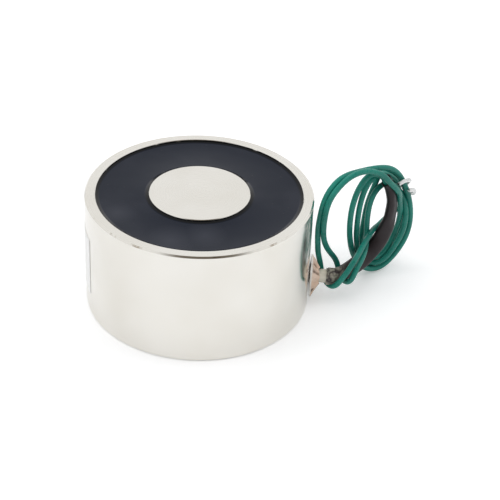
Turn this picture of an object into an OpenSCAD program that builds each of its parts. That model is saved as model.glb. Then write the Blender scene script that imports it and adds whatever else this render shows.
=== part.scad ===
// Round holding electromagnet: a turned steel pot with a potted coil and two coiled leads.
// Millimetres, +Z up. The axis is Z, the base stands on z = 0, the leads leave along +X.

/* [Steel pot] */
// Outer diameter of the pot
body_d = 50; // [47:0.5:60]
// Height from the base to the holding face
body_h = 27; // [24:0.5:40]
// Thickness of the round wall
wall_t = 2.4; // [1.8:0.1:3.5]
// Thickness of the base under the coil groove
base_t = 4.4; // [4:0.1:7]
// Diameter of the centre pole
pole_d = 22.2; // [18:0.2:24]
// Chamfer round the holding face
rim_chamfer = 0.35; // [0.1:0.05:1.2]
// Chamfer round the base
base_chamfer = 0.4; // [0.1:0.05:1.5]
// Edge break on both sides of the groove mouth
groove_chamfer = 0.15; // [0.05:0.05:0.4]

/* [Mounting thread] */
// Tapping drill of the mounting thread
thread_d = 4.2; // [2.5:0.1:6.8]
// Depth of full drill diameter
thread_depth = 10; // [6:0.5:15]
// Point angle of the drill
drill_angle = 118; // [90:1:140]
// Countersink at the mouth of the thread
thread_chamfer = 0.6; // [0.2:0.1:1.2]

/* [Bobbin and winding] */
// Clearance between the pole and the bobbin
bobbin_clear = 0.2; // [0.1:0.05:0.5]
// Wall of the bobbin core
bobbin_wall = 1.0; // [0.6:0.1:1.6]
// Thickness of a bobbin flange
flange_t = 1.6; // [1.2:0.1:2.2]
// Room outside the flanges, where the leads run
lead_gap = 2.6; // [2.4:0.1:4]
// Depth of the wrapped winding below the flange rim
winding_step = 0.5; // [0.2:0.1:2]
// Thickness of the film wrapped round the winding
tape_t = 0.3; // [0.1:0.05:0.6]
// Diameter of the magnet wire
magnet_wire_d = 0.5; // [0.2:0.05:0.8]
// Width of the flange slot that the first turn leaves by
slot_w = 0.8; // [0.8:0.05:1.4]

/* [Resin] */
// Resin above the bobbin
resin_cover = 2.2; // [1.2:0.1:5]
// Step from the holding face down to the resin edge
resin_recess = 0.4; // [0.2:0.05:0.8]
// Dip of the resin between the pole and the wall
resin_dip = 0.3; // [0.1:0.05:0.6]

/* [Leads inside] */
// Diameter of a lead
lead_d = 1.3; // [1:0.1:1.6]
// Spacing of the two leads beyond touching
lead_clear = 0.05; // [0.02:0.01:0.2]
// Bend of a lead where it turns to the exit
lead_bend_r = 1.2; // [1:0.05:1.3]
// Length of a lead along the wall
lead_run = 7; // [4:0.5:14]
// Wall of a splice sleeve
splice_wall = 0.3; // [0.2:0.05:0.4]
// Clearance between a lead and its splice sleeve
splice_clear = 0.05; // [0.02:0.01:0.1]
// Length of a splice sleeve
splice_l = 9; // [6:0.5:14]
// Length of a lead, and of a magnet wire, inside the splice sleeve
splice_lap = 1.5; // [0.5:0.1:2.5]
// Diameter of a soldered joint
joint_d = 1.2; // [0.8:0.05:1.3]
// Bend of a magnet wire tail
tail_bend_r = 0.9; // [0.6:0.1:1.4]
// Length of a magnet wire tail along the wall
tail_run = 6; // [4:0.5:12]

/* [Lead exit] */
// Step from the groove floor up to the exit hole
exit_lift = 0.15; // [0.05:0.05:2]
// Wall of the pale exit sleeve
exit_sleeve_wall = 0.2; // [0.15:0.05:0.4]
// Clearance between the leads and the exit sleeve
exit_sleeve_clear = 0.05; // [0.02:0.01:0.2]
// Reach of the exit sleeve beyond the wall
exit_sleeve_reach = 3.9; // [3:0.1:4.2]
// Thickness of the exit film
film_t = 0.25; // [0.1:0.05:0.4]
// Clearance between the exit film and its hole
film_clear = 0.05; // [0.02:0.01:0.15]
// Height of the film collar on the wall
film_h = 10.4; // [7:0.2:11]
// Width of the film collar on the wall
film_w = 5.2; // [4.4:0.2:7]
// Height of the film collar at its mouth
film_mouth_h = 4.6; // [4:0.1:5.5]
// Reach of the film collar beyond the wall
film_reach = 2.3; // [1:0.1:2.8]
// Depth of the pleats in the film collar
film_pleat = 0.35; // [0:0.05:0.6]

/* [Lead coil] */
// Outer diameter of the coiled leads
coil_d = 29.6; // [26:0.2:34]
// Thickness of the lead bundle across the coil
coil_w = 3.8; // [3:0.1:5]
// Thickness of the lead bundle along the coil axis
coil_t = 2.8; // [2.6:0.1:3]
// Turn of the coil about the vertical
coil_turn = 35; // [30:1:40]
// Diameter of a tinned lead end
tinned_d = 0.9; // [0.5:0.1:1.2]
// Length of a tinned end down each side of the bundle
tinned_leg = 2; // [1:0.1:3]
// Wider side of the flat lead sleeve
sleeve_w = 3.7; // [3.2:0.1:4]
// Thinner side of the flat lead sleeve
sleeve_t = 2.3; // [2:0.1:2.8]

/* [Label] */
// Height of the blank label
label_h = 14; // [8:0.5:16]
// Length of the label round the wall
label_l = 26; // [15:1:60]
// Thickness of the label
label_t = 0.12; // [0.05:0.01:0.3]
// Height of the label's lower edge
label_z = 5.6; // [2:0.1:8]
// Angle of the label edge nearest the viewer
label_edge = 203; // [190:1:250]

/* [Hidden] */
$fn = 96;
eps = 0.01;

bore_d = body_d - 2 * wall_t;

core_id = pole_d + 2 * bobbin_clear;
core_od = core_id + 2 * bobbin_wall;
flange_d = bore_d - 2 * lead_gap;
film_od = flange_d - 2 * winding_step;
winding_d = film_od - 2 * tape_t;
bobbin_top = body_h - resin_recess - resin_cover;
winding_z0 = base_t + flange_t;
winding_z1 = bobbin_top - flange_t;

resin_top = body_h - resin_recess;
resin_span = (bore_d - pole_d) / 2;
resin_r = (pow(resin_span / 2, 2) + pow(resin_dip, 2)) / (2 * resin_dip);

exit_sleeve_id = 2 * lead_d + lead_clear + 2 * exit_sleeve_clear;
exit_sleeve_d = exit_sleeve_id + 2 * exit_sleeve_wall;
exit_hole_d = exit_sleeve_d + 2 * film_t + 2 * film_clear;
exit_z = base_t + exit_lift + exit_hole_d / 2;
exit_x = body_d / 2 + exit_sleeve_reach;

lane_r = bore_d / 2 - lead_gap / 2;
lead_pitch = lead_d + lead_clear;
start_z = exit_z - lead_pitch / 2;
finish_z = exit_z + lead_pitch / 2;
// The first turn's wire lies in the flange slot, against the winding
tail_z = winding_z0 - magnet_wire_d / 2;
// Where a lead leaves its lane along the wall and turns out to the exit
turn_x = sqrt(pow(lane_r, 2) + 2 * lane_r * lead_bend_r);
turn_a = atan(lead_bend_r / turn_x);
lead_a1 = turn_a + lead_run / lane_r * 180 / PI;
splice_a1 = lead_a1 + splice_l / lane_r * 180 / PI;
tail_a1 = splice_a1 + tail_run / lane_r * 180 / PI;
lap_a = splice_lap / lane_r * 180 / PI;
splice_id = lead_d + 2 * splice_clear;
splice_d = splice_id + 2 * splice_wall;
// Where a tail leaves its lane and turns in to the winding
tail_x = sqrt(pow(lane_r - tail_bend_r, 2) - pow(tail_bend_r, 2));
tail_turn_a = atan(tail_bend_r / tail_x);

// The coil stands on its lowest point and leans its near side towards the pot
coil_at = [exit_x + 8.9, 9.6, coil_d / 2];
coil_r = (coil_d - coil_w) / 2;
coil_axis = [sin(coil_turn), -cos(coil_turn), 0];
end_angles = [33, 43];

// Route of the flat sleeve beyond the exit, from there to the top of the coil
sleeve_route = [
    [1.7, 0.1, 6.4], [3.3, 0.9, 6.55], [4.9, 2.35, 6.7], [6.65, 4.25, 6.8], [8.45, 6.3, 7.15],
    [10.2, 8.25, 8.15], [11.9, 10.0, 9.75], [13.25, 11.25, 12.05], [14.1, 12.05, 15.05],
    [14.3, 12.3, 18.55], [13.95, 12.25, 21.45], [13.25, 12.05, 23.65], [12.45, 11.75, 25.2]];
sleeve_points = concat([[exit_x, 0, exit_z]], [for (p = sleeve_route) p + [exit_x, 0, 0]]);
// Roll of the flat section at each point, in degrees
sleeve_rolls = [90, 88, 80, 68, 56, 48, 45, 52, 76, 105, 128, 138, 140, 140];
sleeve_stations = [for (i = [0:len(sleeve_points) - 1])
    [sleeve_points[i],
     i == 0 ? [1, 0, 0] : unit(sleeve_points[min(i + 1, len(sleeve_points) - 1)] - sleeve_points[i - 1]),
     sleeve_rolls[i]]];

function unit(v) = v / norm(v);
function turned(p, a) = [p[0] * cos(a) - p[1] * sin(a), p[0] * sin(a) + p[1] * cos(a), p[2]];
// Oval of 8 points across a heading, with its wide side rolled from the direction ref
function section(at, dir, roll, ref, w, t) =
    let (side = unit(ref - (ref * dir) * dir), up = cross(dir, side),
         wide = side * cos(roll) + up * sin(roll), thin = cross(dir, wide))
    [for (k = [0:7]) at + w / 2 * cos(45 * k) * wide + t / 2 * sin(45 * k) * thin];
// Two triangles between neighbouring points of rings i and j, n points each
function quad(i, j, k, n) = let (m = (k + 1) % n)
    [[i * n + k, j * n + k, j * n + m], [i * n + k, j * n + m, i * n + m]];
// Faces of a capped tube, and of a band that closes on itself, of m rings
function tube_faces(m, n) = concat(
    [[for (k = [0:n - 1]) k], [for (k = [n - 1:-1:0]) (m - 1) * n + k]],
    [for (i = [0:m - 2], k = [0:n - 1]) each quad(i, i + 1, k, n)]);
function band_faces(m, n) = [for (i = [0:m - 1], k = [0:n - 1]) each quad(i, (i + 1) % m, k, n)];

// Stations [point, heading] of a lead: along the wall, round the turn and out through the sleeve
lead_stations = concat(
    [for (i = [0:4]) let (a0 = lead_a1 + lap_a, a = a0 + (turn_a - a0) * i / 5)
        [[lane_r * cos(a), lane_r * sin(a), 0], [sin(a), -cos(a), 0]]],
    [for (i = [0:4]) let (a = 180 + turn_a + (90 - turn_a) * i / 4)
        [[turn_x + lead_bend_r * cos(a), lead_bend_r + lead_bend_r * sin(a), 0], [-sin(a), cos(a), 0]]],
    [[[exit_x, 0, 0], [1, 0, 0]]]);
// Stations of a magnet wire: along the wall with a rise, then in towards the axis as far as radius r0
function tail_stations(r0, rise) = let (a0 = splice_a1 - lap_a, a1 = tail_a1 - tail_turn_a) concat(
    [for (i = [0:4]) let (t = i / 5, a = a0 + (a1 - a0) * t, slope = rise * 6 * t * (1 - t) / tail_run)
        [[lane_r * cos(a), lane_r * sin(a), rise * t * t * (3 - 2 * t)], unit([-sin(a), cos(a), slope])]],
    [for (i = [0:4]) let (a = -tail_turn_a + (90 + tail_turn_a) * i / 4)
        [turned([tail_x + tail_bend_r * cos(a), tail_bend_r * sin(a) - tail_bend_r, rise], tail_a1),
         turned([-sin(a), cos(a), 0], tail_a1)]],
    [[turned([r0, 0, rise], tail_a1), turned([-1, 0, 0], tail_a1)]]);

// Tube of oval section through stations [point, heading, roll]
module swept_tube(stations, ref, w, t) {
    polyhedron([for (s = stations) each section(s[0], s[1], len(s) > 2 ? s[2] : 0, ref, w, t)],
        tube_faces(len(stations), 8));
}

// Ring of rectangular section
module ring(d_out, d_in, h) {
    difference() {
        cylinder(d = d_out, h = h);
        translate([0, 0, -eps]) cylinder(d = d_in, h = h + 2 * eps);
    }
}

// Round bar along an arc of radius r about Z, from angle a0 to a1
module arc_bar(r, d, a0, a1) {
    rotate([0, 0, a0]) rotate_extrude(angle = a1 - a0) translate([r, 0]) circle(d = d);
}

// Round bar along +X from x0 to x1
module x_bar(d, x0, x1) {
    translate([x0, 0, 0]) rotate([0, 90, 0]) cylinder(d = d, h = x1 - x0);
}

// Lead inside the pot
module inner_lead() {
    swept_tube(lead_stations, [0, 0, 1], lead_d, lead_d);
}

// Magnet wire from its soldered joint to radius r0
module tail(r0, rise) {
    swept_tube(tail_stations(r0, rise), [0, 0, 1], magnet_wire_d, magnet_wire_d);
}

// Both leads keep one shape: the finish side is the start side mirrored
module on_finish_side() {
    mirror([0, 1, 0]) children();
}

// Outline of the bobbin with its wrapped winding, as the resin meets it
module bobbin_outline() {
    square([flange_d / 2, flange_t]);
    square([film_od / 2, bobbin_top - base_t]);
    translate([0, bobbin_top - base_t - flange_t]) square([flange_d / 2, flange_t]);
}

// Places the coil's own frame: X and Y across the coil, Z along its axis
module coil_place() {
    translate(coil_at) rotate([90, 0, coil_turn]) children();
}

// Solid outer shape of the coiled leads
module coil_ring() {
    coil_place() rotate_extrude() translate([coil_r, 0]) {
        square([coil_w - coil_t, coil_t], center = true);
        for (x = [-1, 1]) translate([x * (coil_w - coil_t) / 2, 0]) circle(d = coil_t);
    }
}

// Tinned lead end hooked over the outside of the bundle
module hooked_end(angle) {
    hook_r = (coil_t + tinned_d) / 2;
    coil_place() rotate([0, 0, angle]) translate([coil_r + (coil_w - coil_t) / 2, 0, 0])
        rotate([90, 0, 0]) {
            arc_bar(hook_r, tinned_d, -90, 90);
            for (y = [-1, 1]) translate([0, y * hook_r, 0]) x_bar(tinned_d, -tinned_leg, 0);
        }
}

module pot_body() {
    color("gainsboro") difference() {
        rotate_extrude() polygon([
            [0, 0], [body_d / 2 - base_chamfer, 0], [body_d / 2, base_chamfer],
            [body_d / 2, body_h - rim_chamfer], [body_d / 2 - rim_chamfer, body_h],
            [bore_d / 2 + groove_chamfer, body_h], [bore_d / 2, body_h - groove_chamfer],
            [bore_d / 2, base_t], [pole_d / 2, base_t], [pole_d / 2, body_h - groove_chamfer],
            [pole_d / 2 - groove_chamfer, body_h], [0, body_h]]);
        rotate_extrude() polygon([
            [0, -eps], [thread_d / 2 + thread_chamfer + eps, -eps], [thread_d / 2, thread_chamfer],
            [thread_d / 2, thread_depth],
            [0, thread_depth + thread_d / 2 / tan(drill_angle / 2)]]);
        translate([0, 0, exit_z]) x_bar(exit_hole_d, lane_r, body_d / 2 + 1);
    }
}

module bobbin() {
    color("ivory") translate([0, 0, base_t]) difference() {
        union() {
            ring(core_od, core_id, bobbin_top - base_t);
            ring(flange_d, core_id, flange_t);
            translate([0, 0, bobbin_top - base_t - flange_t]) ring(flange_d, core_id, flange_t);
        }
        rotate([0, 0, tail_a1]) translate([core_od / 2, -slot_w / 2, -eps])
            cube([flange_d / 2, slot_w, flange_t + 2 * eps]);
    }
}

module winding() {
    color("peru") translate([0, 0, winding_z0]) ring(winding_d, core_od, winding_z1 - winding_z0);
}

module winding_film() {
    color("lightsalmon") difference() {
        translate([0, 0, winding_z0]) ring(film_od, winding_d, winding_z1 - winding_z0);
        tail_finish();
    }
}

module tail_start() {
    color("orangered") translate([0, 0, start_z]) tail(core_od / 2 + tail_bend_r, tail_z - start_z);
}

module tail_finish() {
    color("orangered") difference() {
        translate([0, 0, finish_z]) on_finish_side() tail(winding_d / 2 - magnet_wire_d, 0);
        translate([0, 0, winding_z0]) cylinder(d = winding_d, h = winding_z1 - winding_z0);
    }
}

module joint() {
    arc_bar(lane_r, joint_d, lead_a1 + lap_a, splice_a1 - lap_a);
}

module joint_start() {
    color("silver") translate([0, 0, start_z]) joint();
}

module joint_finish() {
    color("silver") translate([0, 0, finish_z]) on_finish_side() joint();
}

module splice() {
    rotate([0, 0, lead_a1]) rotate_extrude(angle = splice_a1 - lead_a1) translate([lane_r, 0]) difference() {
        circle(d = splice_d);
        circle(d = splice_id);
    }
}

module splice_start() {
    color("khaki") translate([0, 0, start_z]) splice();
}

module splice_finish() {
    color("khaki") translate([0, 0, finish_z]) on_finish_side() splice();
}

module lead_start() {
    color("seagreen") translate([0, 0, start_z]) inner_lead();
}

module lead_finish() {
    color("mediumseagreen") translate([0, 0, finish_z]) on_finish_side() inner_lead();
}

module potting() {
    color("dimgray") difference() {
        rotate_extrude() difference() {
            translate([pole_d / 2, base_t]) square([resin_span, resin_top - base_t]);
            translate([0, base_t]) bobbin_outline();
            translate([pole_d / 2 + resin_span / 2, resin_top + resin_r - resin_dip]) circle(r = resin_r);
        }
        lead_start();
        lead_finish();
        translate([0, 0, start_z]) arc_bar(lane_r, splice_d, lead_a1, splice_a1);
        translate([0, 0, finish_z]) on_finish_side() arc_bar(lane_r, splice_d, lead_a1, splice_a1);
        tail_start();
        tail_finish();
        translate([0, 0, exit_z]) x_bar(exit_sleeve_d, turn_x, exit_x);
    }
}

module exit_film() {
    n = 16;
    neck_d = exit_sleeve_d + 2 * film_t;
    mouth_x = body_d / 2 + film_reach;
    wall_x = sqrt(pow(body_d / 2, 2) - pow(film_w / 2, 2)) - film_t;
    // Pleated diamond of height h and width w, and an oval, both across X
    function diamond(x, h, w) = [for (k = [0:n - 1])
        let (c = cos(360 * k / n), s = sin(360 * k / n), f = k % 2 * film_pleat)
        [x, (w / 2 - f) * sign(c) * pow(abs(c), 1.4), (h / 2 - f) * sign(s) * pow(abs(s), 1.4)]];
    function oval(x, h, w) = [for (k = [0:n - 1]) [x, w / 2 * cos(360 * k / n), h / 2 * sin(360 * k / n)]];
    mid_d = neck_d - film_t;
    skirt = concat(
        diamond(wall_x, film_h, film_w),
        oval(mouth_x, film_mouth_h, neck_d + 2 * film_t),
        oval(mouth_x, mid_d, mid_d),
        oval(mouth_x - film_t, mid_d, mid_d),
        diamond(wall_x, film_h - 3 * film_t, film_w - 2 * film_t));
    color("rosybrown") {
        translate([0, 0, exit_z]) difference() {
            x_bar(neck_d, bore_d / 2, mouth_x);
            x_bar(exit_sleeve_d, lane_r, mouth_x + 1);
        }
        difference() {
            translate([0, 0, exit_z]) polyhedron(skirt, band_faces(5, n));
            cylinder(d = body_d, h = body_h);
        }
    }
}

module exit_sleeve() {
    color("cornsilk") translate([0, 0, exit_z]) difference() {
        x_bar(exit_sleeve_d, turn_x, exit_x);
        x_bar(exit_sleeve_id, turn_x - 1, exit_x + 1);
    }
}

module lead_sleeve() {
    color("black") difference() {
        swept_tube(sleeve_stations, coil_axis, sleeve_w, sleeve_t);
        coil_ring();
    }
}

module lead_coil() {
    color("darkgreen") coil_ring();
}

module lead_end_start() {
    color("silver") hooked_end(end_angles[0]);
}

module lead_end_finish() {
    color("silver") hooked_end(end_angles[1]);
}

module label() {
    turn = label_l / body_d * 360 / PI;
    color("white") translate([0, 0, label_z]) rotate([0, 0, label_edge - turn])
        rotate_extrude(angle = turn) translate([body_d / 2, 0]) square([label_t, label_h]);
}

pot_body();
bobbin();
winding();
winding_film();
tail_start();
tail_finish();
joint_start();
joint_finish();
splice_start();
splice_finish();
lead_start();
lead_finish();
potting();
exit_film();
exit_sleeve();
lead_sleeve();
lead_coil();
lead_end_start();
lead_end_finish();
label();
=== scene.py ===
import bpy
import numpy as np
from mathutils import Matrix


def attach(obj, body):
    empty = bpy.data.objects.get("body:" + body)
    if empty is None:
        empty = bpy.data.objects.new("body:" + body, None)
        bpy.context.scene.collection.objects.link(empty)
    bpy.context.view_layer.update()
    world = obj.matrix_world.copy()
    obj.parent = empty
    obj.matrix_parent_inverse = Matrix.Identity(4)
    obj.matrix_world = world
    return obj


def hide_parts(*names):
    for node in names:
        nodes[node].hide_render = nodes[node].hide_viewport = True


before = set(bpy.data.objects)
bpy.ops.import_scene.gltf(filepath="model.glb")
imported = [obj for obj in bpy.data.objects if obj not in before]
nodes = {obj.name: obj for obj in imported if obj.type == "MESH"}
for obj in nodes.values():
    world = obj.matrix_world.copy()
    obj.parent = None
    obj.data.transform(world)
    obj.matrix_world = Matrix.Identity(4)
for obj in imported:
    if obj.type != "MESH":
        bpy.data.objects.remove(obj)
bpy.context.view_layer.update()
mm = 0.001
scene = bpy.context.scene
scene.view_settings.view_transform = "Standard"
print("frame loaded:", len(nodes), "nodes")

# Camera: where the photograph was taken from, in millimetres, with its heading and its slight roll
cameraSetup = {
    "at": (11.519, -273.204, 198.892),
    "right": (0.99880, 0.02755, 0.04038),
    "up": (-0.04888, 0.56300, 0.82501),
    "lens": 106.79,
    "sensor": 36.0,
}


# A camera from its right and up directions: it looks along minus their cross product
def makeCamera(setup):
    data = bpy.data.cameras.new("camera")
    data.lens, data.sensor_width = setup["lens"], setup["sensor"]
    data.clip_start, data.clip_end = 0.01, 20.0
    right, up = np.array(setup["right"]), np.array(setup["up"])
    back = np.cross(right, up)
    turn = np.eye(4)
    turn[:3, :3] = np.stack([right, up, back], 1)
    turn[:3, 3] = np.array(setup["at"]) * mm
    obj = bpy.data.objects.new("camera", data)
    obj.matrix_world = Matrix(turn.tolist())
    scene.collection.objects.link(obj)
    scene.camera = obj


makeCamera(cameraSetup)
print("camera placed")


# Vectors divided by their length
def unit(v):
    return v / np.linalg.norm(v, axis=-1, keepdims=True)


# Natural cubic through the points, with the square root of the chord as its parameter
def cubicThrough(points, samples):
    p = np.asarray(points, float)
    n = len(p)
    t = np.r_[0, np.cumsum(np.sqrt(np.linalg.norm(np.diff(p, axis=0), axis=1)))]
    h = np.diff(t)
    left, right = np.eye(n), np.zeros((n, p.shape[1]))
    i = np.arange(1, n - 1)
    left[i, i - 1], left[i, i], left[i, i + 1] = h[:-1], 2 * (h[:-1] + h[1:]), h[1:]
    slope = np.diff(p, axis=0) / h[:, None]
    right[1:-1] = 6 * np.diff(slope, axis=0)
    m = np.linalg.solve(left, right)
    u = np.linspace(0, t[-1], samples)
    k = np.clip(np.searchsorted(t, u) - 1, 0, n - 2)
    a, b, w = (t[k + 1] - u)[:, None], (u - t[k])[:, None], h[k][:, None]
    return (m[k] * a**3 + m[k + 1] * b**3) / (6 * w) + (p[k] / w - m[k] * w / 6) * a + (
        p[k + 1] / w - m[k + 1] * w / 6) * b


# Distance from the start of a line to each of its points
def runAlong(line):
    return np.r_[0, np.cumsum(np.linalg.norm(np.diff(line, axis=0), axis=1))]


# The same cubic with points an even step apart
def evenLine(points, step):
    line = cubicThrough(points, 40 * len(points))
    along = runAlong(line)
    at = np.linspace(0, along[-1], int(round(along[-1] / step)) + 1)
    return np.stack([np.interp(at, along, line[:, k]) for k in range(3)], 1)


# Two directions across a line at each of its points, which don't twist from point to point
def carriedFrame(line):
    heading = unit(np.gradient(line, axis=0))
    side = np.zeros_like(heading)
    first = np.cross(heading[0], [0.0, 0.0, 1.0])
    side[0] = unit(first if np.linalg.norm(first) > 0.1 else np.cross(heading[0], [0.0, 1.0, 0.0]))
    for k in range(1, len(line)):  # each side is the last one, made square to the new heading
        side[k] = unit(side[k - 1] - heading[k] * (side[k - 1] @ heading[k]))
    return side, np.cross(heading, side)


# Mesh of a grid of points in millimetres, rows by columns, closed round its columns where wrap is true
def gridSurface(name, grid, wrap=True, capFirst=False, capLast=False, smooth=True, along=None):
    rows, cols = grid.shape[:2]
    i, j = np.meshgrid(np.arange(rows - 1), np.arange(cols if wrap else cols - 1), indexing="ij")
    nxt = (j + 1) % cols
    row, above = i * cols, (i + 1) * cols
    quads = np.stack([row + j, row + nxt, above + nxt, above + j], -1).reshape(-1, 4)
    run = np.arange(rows) / (rows - 1) if along is None else np.asarray(along)
    turn = cols if wrap else cols - 1
    uv = np.stack([
        np.stack([j / turn, run[i]], -1), np.stack([(j + 1) / turn, run[i]], -1),
        np.stack([(j + 1) / turn, run[i + 1]], -1), np.stack([j / turn, run[i + 1]], -1)], 2).reshape(-1, 2)
    points, faces = grid.reshape(-1, 3), quads.tolist()
    ring = np.arange(cols)
    for wanted, end, order in ((capFirst, 0, -1), (capLast, rows - 1, 1)):
        if wanted:  # a fan of triangles from the middle of the end ring
            points = np.r_[points, grid[end].mean(0)[None]]
            mid = np.full(cols, len(points) - 1)
            pair = np.stack([end * cols + ring, end * cols + (ring + 1) % cols], 1)[:, ::order]
            faces += np.c_[mid, pair].tolist()
            fan = np.stack([np.full((cols, 3), 0.5), np.full((cols, 3), run[end])], -1)
            uv = np.r_[uv, fan.reshape(-1, 2)]
    mesh = bpy.data.meshes.new(name)
    mesh.from_pydata((points * mm).tolist(), [], faces)
    layer = mesh.uv_layers.new(name="uv")
    layer.data.foreach_set("uv", uv.astype(np.float32).ravel())
    mesh.polygons.foreach_set("use_smooth", np.full(len(faces), smooth))
    mesh.update()
    obj = bpy.data.objects.new(name, mesh)
    scene.collection.objects.link(obj)
    return obj


# Round or fluted tube: each ring is radius times the two directions across the line
def tubeAlong(name, line, radius, sides=12, **ends):
    side, up = carriedFrame(line)
    a = np.linspace(0, 2 * np.pi, sides, endpoint=False)[None, :, None]
    r = np.broadcast_to(radius, (len(line), sides))[..., None]
    grid = line[:, None] + r * (np.cos(a) * side[:, None] + np.sin(a) * up[:, None])
    return gridSurface(name, grid, along=runAlong(line), **ends)


# A number for each point of a mesh, for its material to read by name
def pointValue(obj, name, values):
    layer = obj.data.attributes.new(name, "FLOAT", "POINT")
    layer.data.foreach_set("value", np.asarray(values, np.float32).ravel())


# The upright coil: its middle on the ground, and how far it is turned about the vertical
coilPlane = {"at": (37.8, 9.6, 0.0), "turn": 35.0}
turnAngle = np.radians(coilPlane["turn"])
coilAt = np.array(coilPlane["at"])
coilAcross = np.array([np.cos(turnAngle), np.sin(turnAngle), 0.0])
coilAxis = np.array([np.sin(turnAngle), -np.cos(turnAngle), 0.0])


# A point of the coil is given as across, height, and out along the axis towards the viewer
def fromCoil(points):
    p = np.asarray(points, float)
    return coilAt + p[:, :1] * coilAcross + p[:, 1:2] * np.array([0.0, 0.0, 1.0]) + p[:, 2:] * coilAxis


# Flat sleeve: its route from the exit, as in the solid, and how its wide side turns from the coil axis
sleeve = {
    "route": [
        (28.9, 0, 6.425), (30.6, 0.1, 6.4), (32.2, 0.9, 6.55), (33.8, 2.35, 6.7), (35.55, 4.25, 6.8),
        (37.35, 6.3, 7.15), (39.1, 8.25, 8.15), (40.8, 10.0, 9.75), (42.15, 11.25, 12.05),
        (43.0, 12.05, 15.05), (43.2, 12.3, 18.55), (42.85, 12.25, 21.45), (42.15, 12.05, 23.65),
        (41.35, 11.75, 25.2)],
    "roll": [90, 88, 80, 68, 56, 48, 45, 52, 76, 105, 128, 138, 140, 140],
    "width": 3.7,
    "thickness": 2.3,
    "wall": 0.22,
    "step": 0.125,
    "sides": 64,
    "square": 0.86,  # power of the oval, a little squarer than an ellipse
    "startRadius": 1.8,  # round where it grips the pale tube
    "startRun": 1.5,
    "crinkled": 3.4,
    "crackWidth": 0.45,
    "crackDepth": 0.15,
    "lipRings": 12,
}


# Line of the sleeve with the directions of its wide and thin sides, read from the route and the rolls
def sleeveFrame(setup):
    route = np.array(setup["route"], float)
    line = evenLine(route, setup["step"])
    heading = unit(np.gradient(line, axis=0))
    at = np.linalg.norm(line[:, None] - route[None], axis=2).argmin(0)
    roll = np.radians(np.interp(np.arange(len(line)), at, setup["roll"]))[:, None]
    across = unit(coilAxis - (heading @ coilAxis)[:, None] * heading)
    up = np.cross(heading, across)
    wide = np.cos(roll) * across + np.sin(roll) * up
    return line, heading, wide, np.cross(heading, wide)


sleeveLine, sleeveHeading, sleeveWide, sleeveThin = sleeveFrame(sleeve)

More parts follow.
